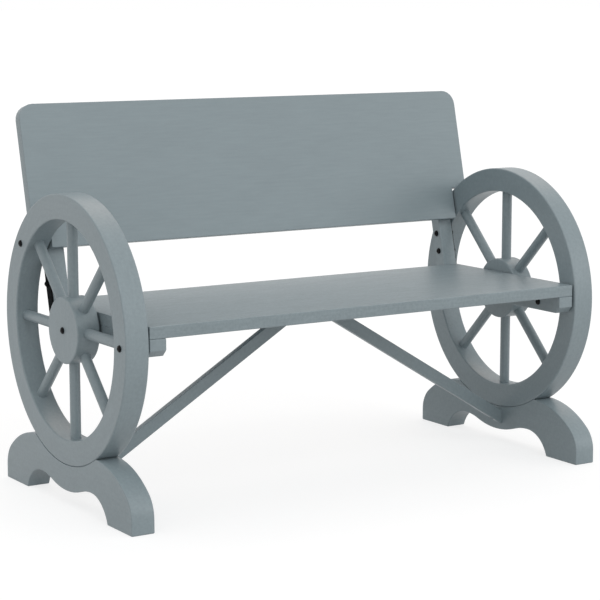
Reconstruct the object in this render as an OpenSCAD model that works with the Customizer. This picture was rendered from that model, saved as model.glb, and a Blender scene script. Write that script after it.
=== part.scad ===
// Garden bench for two, carried between two spoked wagon wheels that stand in scalloped feet.
// Left and right are as seen from the front: X runs to the right, Y from front to back, Z up.
// The origin is on the floor, under the middle of the seat and level with the wheels' centres.

/* [Wheels] */
// Width of the bench over the outer faces of its two wheels
overall_w = 1150; // [900:10:1400]
// Outer radius of each wheel
wheel_r = 275; // [262:1:282]
// Height of the wheels' centres above the floor
axle_h = 360; // [354:1:372]
// Radial width of the wooden rim
rim_w = 52; // [44:1:60]
// Thickness of the rim, the hub and the foot below them
rim_t = 50; // [42:1:60]
// Number of spokes, and of the curved felloes that make up the rim
spoke_count = 8; // [4:2:8]
// Diameter of the round spokes
spoke_d = 22; // [18:1:26]
// Diameter of the hub
hub_d = 136; // [120:1:150]
// Radius of the eased edges of the rim and the hub
wheel_edge_r = 3; // [1:0.5:6]
// Wood left between the end of each spoke and the bolt through the rim
socket_wall = 4; // [3:0.5:6]
// Depth of wood in the hub past the place where the spokes would touch
hub_core = 8; // [6:1:12]

/* [Feet] */
// Length of each foot from front to back
foot_len = 578; // [550:1:640]
// Height of the foot where it meets the wheel
foot_top_h = 122; // [112:1:132]
// Height of the upright end of the foot
toe_h = 28; // [20:1:34]
// Radius of the round above the upright end
toe_r = 62; // [50:1:68]
// Length of the flat sole at each end of the foot
sole_len = 104; // [80:1:125]
// Distance of each arch's highest point from the middle of the foot
arch_y = 116; // [105:1:125]
// Height of the arches
arch_h = 49.5; // [42:0.5:55]
// Radius of the inner side of the arches
arch_r = 154; // [130:1:170]
// Height of the scallop's lowest point, in the middle of the foot
scallop_h = 30.7; // [24:0.1:36]

/* [Seat] */
// Height of the seat above the floor
seat_h = 400; // [392:1:420]
// Thickness of the seat board
seat_t = 25; // [18:1:30]
// Distance of the seat's front edge ahead of the wheels' centres
seat_front = 270; // [262:1:290]
// Gap at each side between the seat and the wheel, filled by the steel straps
side_gap = 4; // [3:0.5:6]
// Width of the beam under each end of the seat
beam_w = 36; // [32:1:50]
// Height of the beams
beam_h = 36; // [32:1:50]
// Size of the slanted cut on each beam's lower front corner
beam_cut = 13; // [5:1:16]
// Radius of the seat's eased front edges
board_edge_r = 3; // [1:0.5:5]

/* [Backrest] */
// Angle at which the backrest leans back from upright
lean = 13.67; // [8:0.01:15]
// Distance of the backrest's lower front edge behind the wheels' centres
back_y = 155; // [145:1:165]
// Height of the backrest's lower front edge
back_low_h = 508; // [490:1:515]
// Height of the backrest's upper front edge, the highest point of the bench
back_top_h = 802.5; // [760:0.5:840]
// Width of the backrest's upper part, whose wings reach out over the wheels
back_w = 1120; // [1090:1:1140]
// Thickness of the backrest
back_t = 22; // [18:1:28]
// Radius of the backrest's upper corners
back_corner_r = 32; // [15:1:60]
// Gap between the wings and the wheels below them
wing_gap = 2; // [1:0.5:8]

/* [Uprights] */
// Width of the uprights that carry the backrest
upright_w = 36; // [32:1:50]
// Depth of the uprights
upright_d = 28; // [26:1:34]
// Distance of the uprights' upper ends below the backrest's upper edge
upright_drop = 50; // [25:1:90]

/* [Steel straps] */
// Width of the flat steel straps
strap_w = 20; // [16:1:24]
// Length of strap past the centre of its last bolt
strap_end = 12; // [10:1:16]
// Height above the seat of the lower bolt in each upright
upright_bolt_rise = 30; // [20:1:36]
// Distance between the two bolts in each upright
upright_bolt_pitch = 40.5; // [30:0.5:44]
// Distance between the two bolts of each front strap
front_bolt_pitch = 52; // [44:1:70]

/* [Braces] */
// Width of the flat slats that brace the seat
brace_w = 27; // [22:1:40]
// Thickness of the braces
brace_t = 16; // [13:1:22]
// Distance of the braces' middle ahead of the wheels' centres
brace_front = 15; // [10:1:40]
// Height at which the lower edge of each brace meets the foot
brace_foot_h = 46; // [44:1:56]
// Half the width of the flat top that the two braces make under the seat
brace_top_half = 33; // [28:1:45]

/* [Fasteners] */
// Diameter of the bolts' shanks
bolt_d = 6; // [5:0.5:7]
// Diameter of the bolts' domed heads
bolt_head_d = 14; // [12:0.5:16]
// Height of the bolts' domed heads
bolt_head_h = 4; // [3:0.5:6]
// Depth to which the wheel bolts are driven into the beams and uprights
bolt_bite = 26; // [20:1:29]
// Width of the nuts across their flats
nut_w = 10; // [8.5:0.5:11]
// Thickness of the nuts
nut_t = 5; // [4:0.5:6]
// Length of bolt that shows past its nut
bolt_tail = 2; // [1:0.5:3]
// Diameter of the round spacers between the hubs and the beams
spacer_d = 24; // [18:1:32]
// Diameter of the wood screws' shanks
screw_d = 4.5; // [4:0.5:5]
// Diameter of the wood screws' heads
screw_head_d = 9; // [8:0.5:10]
// Depth to which the screws' heads are sunk below the wood
screw_sink = 6; // [2:0.5:8]
// Wood left between the tip of a screw and the face beyond it
screw_cover = 6; // [4:0.5:8]
// Distance of the first seat screw behind the seat's front edge
seat_screw_inset = 120; // [120:1:130]
// Distance between the seat screws
seat_screw_pitch = 100; // [90:1:110]
// Number of screws up through each beam into the seat
seat_screw_count = 3; // [2:1:3]
// Distance of the first and last backrest screw from the backrest's lower edge and the upright's end
back_screw_inset = 36; // [36:1:45]
// Number of screws through each upright into the backrest
back_screw_count = 3; // [2:1:4]
// Distance between the two screws in each foot
foot_screw_pitch = 90; // [80:1:100]
// Height of the screw at the foot of each brace, as a share of the brace's height there
brace_toe_share = 0.4; // [0.35:0.05:0.45]
// Diameter of the dowels that join the felloes end to end
dowel_d = 10; // [8:1:12]
// Length of the dowels
dowel_len = 40; // [30:1:50]
// Clearance round the tenons, dowels, bolts and screws
fit = 0.15; // [0.1:0.05:0.3]
// Clearance where the wheels rest in the feet and the seat meets the uprights
rest_gap = 0.3; // [0.2:0.05:0.5]

/* [Hidden] */
$fn = 96;
// How far a cut runs past the face that it opens
over = 1;

PAINT = [0.55, 0.59, 0.61];
BLACK_STEEL = [0.1, 0.1, 0.11];
SCREW_STEEL = [0.5, 0.5, 0.52];
BARE_WOOD = [0.76, 0.62, 0.44];

// Places across the bench, out from its middle
wheel_in_x = overall_w / 2 - rim_t;
wheel_x = overall_w / 2 - rim_t / 2;
seat_half_w = wheel_in_x - side_gap;
beam_x = seat_half_w - beam_w / 2;
upright_x = seat_half_w - upright_w / 2;

// The wheel: its rim's middle, and how deep the spokes go
spoke_step = 360 / spoke_count;
rim_mid_r = wheel_r - rim_w / 2;
spoke_out_r = rim_mid_r - bolt_d / 2 - socket_wall;
spoke_in_r = spoke_d / (2 * sin(spoke_step / 2)) + hub_core;

// The seat and the beams below it
seat_low_h = seat_h - seat_t;
beam_low_h = seat_low_h - beam_h;
beam_mid_h = seat_low_h - beam_h / 2;

// The leaning backrest and uprights: a place is worked out from its distance up the slope
lean_y = sin(lean);
lean_z = cos(lean);
back_len = (back_top_h - back_low_h) / lean_z;
upright_front = back_t;
upright_mid = back_t + upright_d / 2;
upright_rear = back_t + upright_d;
function lean_point(up, in) = [back_y + up * lean_y + in * lean_z, back_low_h + up * lean_z - in * lean_y];
function slope_up(in, h) = (h - back_low_h + in * lean_y) / lean_z;
function slope_y(in, h) = lean_point(slope_up(in, h), in)[0];
// Distance up the slope at which a line in the board meets a circle round the wheel's centre
function slope_at_r(in, r) =
    let (p = lean_point(0, in) - [0, axle_h], b = p[0] * lean_y + p[1] * lean_z)
    -b + sqrt(b * b - p * p + r * r);

wing_up = slope_at_r(0, wheel_r + wing_gap);
upright_top = back_len - upright_drop;

// The bolts' places, each as its distance back and its height
hub_bolt = [0, axle_h];
front_rim_bolt = [-rim_mid_r, axle_h];
rear_rim_bolt = lean_point(slope_at_r(upright_mid, rim_mid_r), upright_mid);
front_beam_bolt = [-rim_mid_r + front_bolt_pitch, beam_mid_h];
rear_beam_bolt = [slope_y(upright_mid, beam_mid_h), beam_mid_h];
low_bolt_h = seat_h + upright_bolt_rise;
upright_bolts = [for (h = [low_bolt_h, low_bolt_h + upright_bolt_pitch]) [slope_y(upright_mid, h), h]];
beam_bolts = [front_beam_bolt, rear_beam_bolt];
wheel_bolts = [hub_bolt, front_rim_bolt, rear_rim_bolt];

// The screws' places and depths
seat_screws = [for (i = [0:seat_screw_count - 1]) -seat_front + seat_screw_inset + i * seat_screw_pitch];
back_screw_pitch = (upright_top - 2 * back_screw_inset) / (back_screw_count - 1);
back_screws = [for (i = [0:back_screw_count - 1]) back_screw_inset + i * back_screw_pitch];
foot_screws = [-foot_screw_pitch / 2, foot_screw_pitch / 2];
screw_head_h = (screw_head_d - screw_d) / 2;

// The braces rise from the feet to the middle of the seat
brace_rise = seat_low_h - brace_foot_h;
brace_run = wheel_in_x - brace_top_half;
brace_angle = acos(brace_w / norm([brace_rise, brace_run])) - atan2(brace_run, brace_rise);
brace_over = brace_w / cos(brace_angle);
function brace_low(x) = brace_foot_h + (wheel_in_x - x) * tan(brace_angle);
brace_screw_x = brace_top_half / 2;
brace_toe_h = brace_foot_h + brace_over * brace_toe_share;
brace_toe_x = wheel_in_x - (brace_toe_h - brace_foot_h) / tan(brace_angle);

// The foot's outline, whose arcs run into one another without a corner
saddle_r = wheel_r + rest_gap;
saddle_y = sqrt(pow(saddle_r, 2) - pow(axle_h - foot_top_h, 2));
toe_y = foot_len / 2 - toe_r;
shoulder_rise = foot_top_h - toe_h;
shoulder_r = (pow(toe_y - saddle_y, 2) + pow(shoulder_rise, 2) - pow(toe_r, 2))
    / (2 * (shoulder_rise - toe_r));
shoulder_angle = atan2(toe_h - foot_top_h + shoulder_r, toe_y - saddle_y);
sole_y = foot_len / 2 - sole_len;
arch_out_r = (pow(sole_y - arch_y, 2) + pow(arch_h, 2)) / (2 * arch_h);
arch_out_angle = atan2(arch_out_r - arch_h, sole_y - arch_y);
arch_drop = arch_r - (arch_h - scallop_h);
scallop_r = (pow(arch_y, 2) + pow(arch_drop, 2) - pow(arch_r, 2)) / (2 * (arch_r - arch_drop));
scallop_angle = atan2(arch_y, scallop_r + arch_drop);

SIDES = ["left", "right"];
PAIRS = ["hub", "foot", "beam", "upright", "rear_strap", "front_strap", "brace", "wheel_bolts"];

// Points of an arc in the side view, from one angle to another
function arc(c, r, a0, a1, steps = 12) = [for (i = [0:steps])
    let (a = a0 + (a1 - a0) * i / steps) c + r * [cos(a), sin(a)]];

// Puts what is drawn for the right side on the side that is named
module on_side(side) {
    if (side == "left") mirror([1, 0, 0]) children();
    else children();
}

module both_sides() {
    for (side = SIDES) on_side(side) children();
}

// Turns a drawing of the side view upright, so that its depth runs along X from the given place
module side_view(x) {
    translate([x, 0, 0]) rotate([90, 0, 90]) children();
}

// The same for a drawing made round the wheel's own centre, in the middle of its thickness
module wheel_view() {
    translate([wheel_x, 0, axle_h]) rotate([90, 0, 90]) children();
}

// Rectangle round the origin with rounded corners
module rounded_rect(w, h, r) {
    square([w - 2 * r, h], center = true);
    square([w, h - 2 * r], center = true);
    for (x = [-1, 1], y = [-1, 1])
        translate([x * (w / 2 - r), y * (h / 2 - r)]) circle(r);
}

// A straight round bar along X, from one place to another at a point of the side view
module bar_x(p, x0, x1, d) {
    translate([x0, p[0], p[1]]) rotate([0, 90, 0]) cylinder(h = x1 - x0, d = d);
}

// Bolt with a domed head, whose head sits on the plane z = 0 and whose shank runs down from it
module domed_bolt(len) {
    dome_r = (pow(bolt_head_d / 2, 2) + pow(bolt_head_h, 2)) / (2 * bolt_head_h);
    intersection() {
        translate([0, 0, bolt_head_h - dome_r]) sphere(dome_r);
        cylinder(h = bolt_head_h, d = bolt_head_d);
    }
    tip = bolt_d / 4;
    translate([0, 0, tip - len]) cylinder(h = len - tip, d = bolt_d);
    translate([0, 0, -len]) cylinder(h = tip, d1 = bolt_d - 2 * tip, d2 = bolt_d);
}

// Wood screw with a countersunk head flush with the plane z = 0 and its shank below it
module wood_screw(len) {
    translate([0, 0, -screw_head_h]) cylinder(h = screw_head_h, d1 = screw_d, d2 = screw_head_d);
    tip = screw_d;
    translate([0, 0, tip - len]) cylinder(h = len - tip - screw_head_h, d = screw_d);
    translate([0, 0, -len]) cylinder(h = tip, d1 = screw_d / 4, d2 = screw_d);
}

// The hole that such a screw leaves, with a sunk pocket above its head
module screw_hole(len, sink) {
    gap = 2 * fit;
    translate([0, 0, -len - fit]) cylinder(h = len, d = screw_d + gap);
    translate([0, 0, -screw_head_h - fit])
        cylinder(h = screw_head_h, d1 = screw_d + gap, d2 = screw_head_d + gap);
    translate([0, 0, -fit]) cylinder(h = sink + over, d = screw_head_d + gap);
}

// The spokes' own outline, fatter by twice the clearance for the sockets
module spoke_bar(i, grow) {
    rotate([0, 0, (i - 1) * spoke_step]) rotate([0, 90, 0])
        translate([0, 0, spoke_in_r - grow])
            cylinder(h = spoke_out_r - spoke_in_r + 2 * grow, d = spoke_d + 2 * grow);
}

// The dowel through the joint that follows felloe i
module dowel_bar(i, grow) {
    rotate([0, 0, (i - 0.5) * spoke_step]) translate([rim_mid_r, 0, 0]) rotate([90, 0, 0])
        cylinder(h = dowel_len + 2 * grow, d = dowel_d + 2 * grow, center = true);
}

// Felloe 1 lies level at the back, and the others follow over the top to the front
module felloe(i) {
    color(PAINT) difference() {
        wheel_view() difference() {
            rotate([0, 0, (i - 1.5) * spoke_step]) rotate_extrude(angle = spoke_step)
                translate([rim_mid_r, 0]) rounded_rect(rim_w, rim_t, wheel_edge_r);
            spoke_bar(i, fit);
            for (j = [i - 1, i]) dowel_bar(j, fit);
        }
        for (p = [front_rim_bolt, rear_rim_bolt])
            bar_x(p, wheel_in_x - over, overall_w / 2 + over, bolt_d + 2 * fit);
        foot_screw_places() screw_hole(foot_screw_len(), screw_sink);
    }
}

module spoke(i) {
    color(PAINT) wheel_view() spoke_bar(i, 0);
}

module hub() {
    color(PAINT) difference() {
        wheel_view() difference() {
            rotate_extrude() intersection() {
                rounded_rect(hub_d, rim_t, wheel_edge_r);
                translate([0, -rim_t / 2]) square([hub_d / 2, rim_t]);
            }
            for (i = [1:spoke_count]) spoke_bar(i, fit);
        }
        bar_x(hub_bolt, wheel_in_x - over, overall_w / 2 + over, bolt_d + 2 * fit);
    }
}

// The dowels between the felloes of the right wheel
module rim_dowels() {
    color(BARE_WOOD) wheel_view() for (i = [1:spoke_count]) dowel_bar(i, 0);
}

// The foot's side view: half of it runs from the scallop round the sole and the toe to the saddle
module foot_outline() {
    half = concat(
        arc([0, scallop_h + scallop_r], scallop_r, 270, 270 + scallop_angle),
        arc([arch_y, arch_h - arch_r], arch_r, 90 + scallop_angle, 90),
        arc([arch_y, arch_h - arch_out_r], arch_out_r, 90, arch_out_angle),
        [[foot_len / 2, 0]],
        arc([toe_y, toe_h], toe_r, 0, shoulder_angle),
        arc([saddle_y, foot_top_h - shoulder_r], shoulder_r, shoulder_angle, 90));
    polygon(concat(half, [for (i = [len(half) - 1:-1:1]) [-half[i][0], half[i][1]]]));
}

// Height of the scallop's surface in the middle part of the foot
function scallop_z(y) = scallop_h + scallop_r - sqrt(pow(scallop_r, 2) - pow(y, 2));
function foot_screw_z(y) = scallop_z(y) + screw_sink;
function saddle_z(y) = axle_h - sqrt(pow(saddle_r, 2) - pow(y, 2));
function foot_screw_len() =
    saddle_z(foot_screws[1]) + rim_w - screw_cover * 2 - foot_screw_z(foot_screws[1]);

// The screws that hold the wheel in its foot, driven up from the scallop
module foot_screw_places() {
    for (y = foot_screws)
        translate([wheel_x, y, foot_screw_z(y)]) rotate([180, 0, 0]) children();
}

module foot() {
    color(PAINT) difference() {
        side_view(wheel_in_x) linear_extrude(rim_t) difference() {
            foot_outline();
            translate([0, axle_h]) circle(saddle_r);
        }
        foot_screw_places() screw_hole(foot_screw_len(), screw_sink * 2);
        brace_toe_screw() screw_hole(brace_toe_len(), 0);
    }
}

module foot_screw_set() {
    color(SCREW_STEEL) foot_screw_places() wood_screw(foot_screw_len());
}

// Beam under the end of the seat, with the slanted cut on its lower front corner
module beam() {
    rear_y = slope_y(upright_rear, seat_low_h);
    color(PAINT) difference() {
        side_view(beam_x - beam_w / 2) linear_extrude(beam_w) polygon([
            [-seat_front, seat_low_h], [-seat_front, beam_low_h + beam_cut],
            [-seat_front + beam_cut, beam_low_h], [rear_y, beam_low_h], [rear_y, seat_low_h]]);
        for (p = beam_bolts) bar_x(p, 0, overall_w / 2, bolt_d + 2 * fit);
        low_wheel_bolt_holes();
        seat_screw_places() screw_hole(seat_screw_len(), screw_sink);
    }
}

// The holes for the two lower wheel bolts, which follow those bolts into whatever they meet
module low_wheel_bolt_holes() {
    for (p = [hub_bolt, front_rim_bolt])
        bar_x(p, seat_half_w - bolt_bite - fit, overall_w / 2, bolt_d + 2 * fit);
}

// Seat board, whose back edge follows the slope of the uprights behind it
module seat_board() {
    rear_low = slope_y(upright_front, seat_low_h) - rest_gap;
    rear_top = slope_y(upright_front, seat_h) - rest_gap;
    front = -seat_front + board_edge_r;
    color(PAINT) difference() {
        side_view(-seat_half_w) linear_extrude(2 * seat_half_w) union() {
            polygon([[front, seat_low_h], [rear_low, seat_low_h], [rear_top, seat_h], [front, seat_h]]);
            translate([-seat_front, seat_low_h + board_edge_r])
                square([2 * board_edge_r, seat_t - 2 * board_edge_r]);
            for (h = [seat_low_h + board_edge_r, seat_h - board_edge_r])
                translate([front, h]) circle(board_edge_r);
        }
        both_sides() {
            seat_screw_places() screw_hole(seat_screw_len(), screw_sink);
            brace_top_screw() screw_hole(brace_top_len(), 0);
            low_wheel_bolt_holes();
        }
    }
}

function seat_screw_len() = seat_h - screw_cover - beam_low_h - screw_sink;

module seat_screw_places() {
    for (y = seat_screws)
        translate([beam_x, y, beam_low_h + screw_sink]) rotate([180, 0, 0]) children();
}

module seat_screw_set() {
    color(SCREW_STEEL) seat_screw_places() wood_screw(seat_screw_len());
}

// A piece drawn by its distance up the slope and its distance in from the backrest's front face
module on_slope(x) {
    translate([x, back_y, back_low_h]) rotate([-lean, 0, 0]) children();
}

// Front view of the backrest: a narrow lower part between the wheels and a wide upper part
module backrest_outline() {
    translate([-seat_half_w, 0]) square([2 * seat_half_w, back_len]);
    translate([-back_w / 2, wing_up]) square([back_w, back_len - wing_up - back_corner_r]);
    translate([-back_w / 2 + back_corner_r, wing_up])
        square([back_w - 2 * back_corner_r, back_len - wing_up]);
    for (x = [-1, 1])
        translate([x * (back_w / 2 - back_corner_r), back_len - back_corner_r]) circle(back_corner_r);
}

module backrest_board() {
    color(PAINT) difference() {
        on_slope(0) translate([0, back_t, 0]) rotate([90, 0, 0]) linear_extrude(back_t) backrest_outline();
        both_sides() back_screw_places() screw_hole(back_screw_len(), 0);
    }
}

function back_screw_len() = upright_d + back_t - screw_sink - screw_cover;

// The screws through the uprights into the backrest, driven in from behind
module back_screw_places() {
    on_slope(upright_x) for (s = back_screws)
        translate([0, upright_rear - screw_sink, s]) rotate([-90, 0, 0]) children();
}

module backrest_screw_set() {
    color(SCREW_STEEL) back_screw_places() wood_screw(back_screw_len());
}

// Upright behind the backrest, cut level at its foot where it stands on the beam
module upright() {
    front_low = slope_y(upright_front, seat_low_h);
    rear_low = slope_y(upright_rear, seat_low_h);
    color(PAINT) difference() {
        side_view(upright_x - upright_w / 2) linear_extrude(upright_w) polygon([
            [front_low, seat_low_h], [rear_low, seat_low_h],
            lean_point(upright_top, upright_rear), lean_point(upright_top, upright_front)]);
        for (p = upright_bolts) bar_x(p, 0, overall_w / 2, bolt_d + 2 * fit);
        bar_x(rear_rim_bolt, seat_half_w - bolt_bite - fit, overall_w / 2, bolt_d + 2 * fit);
        back_screw_places() screw_hole(back_screw_len(), screw_sink);
    }
}

// Flat steel strap with round ends between two points of the side view, drilled for its bolts
module strap(p, q, bolts) {
    run = q - p;
    len = norm(run);
    color(BLACK_STEEL) side_view(seat_half_w) linear_extrude(side_gap) difference() {
        translate(p) rotate(atan2(run[1], run[0])) union() {
            translate([0, -strap_w / 2]) square([len, strap_w]);
            for (end = [0, len]) translate([end, 0]) intersection() {
                circle(d = strap_w);
                square([2 * strap_end, strap_w], center = true);
            }
        }
        for (bolt = bolts) translate(bolt) circle(d = bolt_d + 2 * fit);
    }
}

module rear_strap() {
    strap(rear_beam_bolt, rear_rim_bolt, concat([rear_beam_bolt, rear_rim_bolt], upright_bolts));
}

module front_strap() {
    strap([front_rim_bolt[0], beam_mid_h], front_beam_bolt, [front_rim_bolt, front_beam_bolt]);
}

// Brace from the foot up to the middle of the seat, cut upright at both ends and level at its top
module brace() {
    color(PAINT) difference() {
        translate([0, brace_t / 2 - brace_front, 0]) rotate([90, 0, 0]) linear_extrude(brace_t)
            polygon([
                [0, brace_low(0)], [wheel_in_x, brace_foot_h], [wheel_in_x, brace_foot_h + brace_over],
                [brace_top_half, seat_low_h], [0, seat_low_h]]);
        brace_top_screw() screw_hole(brace_top_len(), screw_sink);
        brace_toe_screw() screw_hole(brace_toe_len(), screw_sink);
    }
}

function brace_top_z() = brace_low(brace_screw_x) + screw_sink;
function brace_top_len() = seat_h - screw_cover - brace_top_z();
function brace_toe_len() = rim_t / 2 + wheel_in_x - brace_toe_x - screw_sink;

// The screw up through the top of the brace into the seat
module brace_top_screw() {
    translate([brace_screw_x, -brace_front, brace_top_z()]) rotate([180, 0, 0]) children();
}

// The screw through the lower end of the brace into the foot
module brace_toe_screw() {
    translate([brace_toe_x + screw_sink, -brace_front, brace_toe_h]) rotate([0, -90, 0]) children();
}

module brace_screw_set() {
    color(SCREW_STEEL) {
        brace_top_screw() wood_screw(brace_top_len());
        brace_toe_screw() wood_screw(brace_toe_len());
    }
}

// The three bolts through the wheel: into the beam at the hub and the front, into the upright behind
module wheel_bolt_set() {
    color(BLACK_STEEL) for (p = wheel_bolts)
        translate([overall_w / 2, p[0], p[1]]) rotate([0, 90, 0])
            domed_bolt(rim_t + side_gap + bolt_bite);
}

// A bolt from the bench's inner side, through the wood and the strap, to its nut
module inner_bolt(p, wood_w) {
    translate([seat_half_w - wood_w, p[0], p[1]]) rotate([0, -90, 0])
        domed_bolt(wood_w + side_gap + nut_t + bolt_tail);
}

module upright_bolt_set() {
    color(BLACK_STEEL) for (p = upright_bolts) inner_bolt(p, upright_w);
}

module beam_bolt_set() {
    color(BLACK_STEEL) for (p = beam_bolts) inner_bolt(p, beam_w);
}

// The hexagonal nuts on the outer face of the straps
module strap_nut_set() {
    color(BLACK_STEEL) for (p = concat(upright_bolts, beam_bolts)) difference() {
        translate([wheel_in_x, p[0], p[1]]) rotate([0, 90, 0])
            cylinder(h = nut_t, d = nut_w / cos(30), $fn = 6);
        bar_x(p, wheel_in_x - over, wheel_in_x + nut_t + over, bolt_d + 2 * fit);
    }
}

// The spacer between the hub and the beam
module hub_spacer() {
    color(BLACK_STEEL) difference() {
        bar_x(hub_bolt, seat_half_w, wheel_in_x, spacer_d);
        bar_x(hub_bolt, seat_half_w - over, wheel_in_x + over, bolt_d + 2 * fit);
    }
}

// One named piece on one side, drawn as its module draws it on the right
module side_piece(name) {
    if (name == "hub") hub();
    if (name == "foot") foot();
    if (name == "beam") beam();
    if (name == "upright") upright();
    if (name == "rear_strap") rear_strap();
    if (name == "front_strap") front_strap();
    if (name == "brace") brace();
    if (name == "wheel_bolts") wheel_bolt_set();
}

for (side = SIDES, i = [1:spoke_count]) {
    on_side(side) felloe(i);
    on_side(side) spoke(i);
}
for (side = SIDES, name = PAIRS)
    on_side(side) side_piece(name);
seat_board();
backrest_board();
both_sides() rim_dowels();
both_sides() hub_spacer();  // hub_spacers
both_sides() upright_bolt_set();  // upright_bolts
both_sides() beam_bolt_set();  // beam_bolts
both_sides() strap_nut_set();  // strap_nuts
both_sides() seat_screw_set();  // seat_screws
both_sides() backrest_screw_set();  // backrest_screws
both_sides() brace_screw_set();  // brace_screws
both_sides() foot_screw_set();  // foot_screws
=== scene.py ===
"""Looks of the wagon wheel bench: grey painted timber, black steel, and the studio round it.

The solids stay the frame. Each operator makes one kind of piece as a surface over them, from
sizes in metres that the sidebar shows. X runs to the right as seen from the front, Y to the back
and Z up, from the floor under the middle of the seat.
"""
import functools
import math

import bmesh
import bpy
import numpy as np
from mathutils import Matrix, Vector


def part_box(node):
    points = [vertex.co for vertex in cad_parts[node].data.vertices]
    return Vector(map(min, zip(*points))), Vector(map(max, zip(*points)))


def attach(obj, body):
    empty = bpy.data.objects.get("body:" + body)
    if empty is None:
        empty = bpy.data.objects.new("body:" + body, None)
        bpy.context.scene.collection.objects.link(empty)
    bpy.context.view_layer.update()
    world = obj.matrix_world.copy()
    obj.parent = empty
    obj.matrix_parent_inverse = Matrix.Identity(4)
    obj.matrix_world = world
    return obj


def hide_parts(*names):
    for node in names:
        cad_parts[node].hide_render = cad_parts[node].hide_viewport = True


bl_info = {
    "name": "Wagon Wheel Bench",
    "version": (1, 0, 0),
    "blender": (4, 5, 0),
    "location": "3D View > Sidebar > Bench",
    "description": "Builds the painted timber, steel and studio of a wagon wheel bench",
    "category": "Object",
}

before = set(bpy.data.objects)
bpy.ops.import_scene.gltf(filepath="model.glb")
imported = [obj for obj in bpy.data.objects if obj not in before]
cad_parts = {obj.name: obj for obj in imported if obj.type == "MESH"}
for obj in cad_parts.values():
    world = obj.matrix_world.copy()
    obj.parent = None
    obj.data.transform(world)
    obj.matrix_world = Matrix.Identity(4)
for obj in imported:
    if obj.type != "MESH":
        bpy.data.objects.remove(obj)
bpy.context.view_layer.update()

MM = 0.001
SPOKES = 8
SIDES = {"left": -1.0, "right": 1.0}
X, Y, Z = np.eye(3)
# Wood screws in a row under each beam and behind each upright
SCREWS = 3
# Flat strip beside each rounded edge, which keeps the face next to it shading flat
MARGIN = 0.6 * MM
# Edges between faces that meet at a sharper angle than this stay sharp
SHARP = math.radians(38)
# How far the cutter of a screw's pocket starts outside the wood, and ends past the screw's head
RUN_OUT, HEAD_ROOM = 1 * MM, 0.3 * MM
# Shift of the grain and tone from one timber to the next, in millimetres, so that no two are alike
BOARD_SHIFT = np.array([613.0, 271.0, 157.0])
# Each lamp's degrees to the right of the front, degrees above the floor, and tint
LAMPS = {"front": (0, 40, (0.96, 1.0, 1.0)), "side": (45, 15, (1.0, 1.0, 1.0)),
         "back": (135, 48, (1.0, 0.78, 0.66))}
# The angle that a lamp fills, which softens its shadows
LAMP_WIDTH = math.radians(30)
# What the floor glows and what it shows of the light come to, a little over white
FLOOR_WHITE = 1.08
# Blender's noise mostly lies between these two values
NOISE = {"From Min": 0.3, "From Max": 0.7}


def measured():
    """The wheel's main sizes as the solids have them.

    The top and bottom felloes give the rim's outer radius and the axle's height, and the lowest
    points of the top felloe lie on the rim's inner radius, half a felloe away from the middle.
    """
    top_low, top_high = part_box("right_felloe_3")
    bottom_low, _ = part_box("right_felloe_7")
    hub_low, hub_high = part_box("right_hub")
    spoke_low, spoke_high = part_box("right_spoke_3")
    axle = (top_high.z + bottom_low.z) / 2
    return {
        "radius": (top_high.z - bottom_low.z) / 2,
        "axle": axle,
        "rim_inner": (top_low.z - axle) / math.cos(math.pi / SPOKES),
        "outer_x": top_high.x,
        "thick": top_high.x - top_low.x,
        "hub_radius": (hub_high.z - hub_low.z) / 2,
        "spoke_radius": (spoke_high.x - spoke_low.x) / 2,
        "spoke_from": spoke_low.z - axle,
        "spoke_to": spoke_high.z - axle,
    }


WHEEL = measured()


# Colours

def linear(code):
    """sRGB hex to linear: c / 12.92 up to 0.04045, and ((c + 0.055) / 1.055) ** 2.4 above it."""
    parts = [int(code.lstrip("#")[i:i + 2], 16) / 255 for i in (0, 2, 4)]
    return [c / 12.92 if c <= 0.04045 else ((c + 0.055) / 1.055) ** 2.4 for c in parts]


# Settings

def length(name, description, default):
    """A length in metres, as the sidebar shows it."""
    return bpy.props.FloatProperty(name=name, description=description, default=default, min=0.0,
                                   precision=4, unit="LENGTH", subtype="DISTANCE")


def level(name, description, default, most):
    """A strength or a share from nothing up to the most that it may be."""
    return bpy.props.FloatProperty(name=name, description=description, default=default, min=0.0, max=most,
                                   subtype="FACTOR" if most == 1.0 else "NONE")


def colour(name, description, code):
    """A surface colour, given in sRGB hex and kept in linear light."""
    return bpy.props.FloatVectorProperty(name=name, description=description, default=linear(code),
                                         size=3, min=0.0, max=1.0, subtype="COLOR")


class WheelSizes(bpy.types.PropertyGroup):
    radius: length("Wheel radius", "From the hub's centre to the rim's tread", WHEEL["radius"])
    rim_inner: length("Rim inner radius", "From the hub's centre to the rim's inner side",
                      WHEEL["rim_inner"])
    axle: length("Axle height", "Height of the hub's centre above the floor", WHEEL["axle"])
    outer_x: length("Half width", "From the bench's middle to the wheel's outer face", WHEEL["outer_x"])
    thick: length("Rim thickness", "Thickness of the rim, hub and foot", WHEEL["thick"])
    hub_radius: length("Hub radius", "Radius of the turned hub", WHEEL["hub_radius"])
    spoke_radius: length("Spoke radius", "Radius of the round spokes", WHEEL["spoke_radius"])
    tenon_cut: length("Tenon cut", "Cut round both ends of a spoke", 1.5 * MM)
    edge: length("Wheel edge", "Radius of the rim's and hub's eased edges", 3 * MM)


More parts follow.
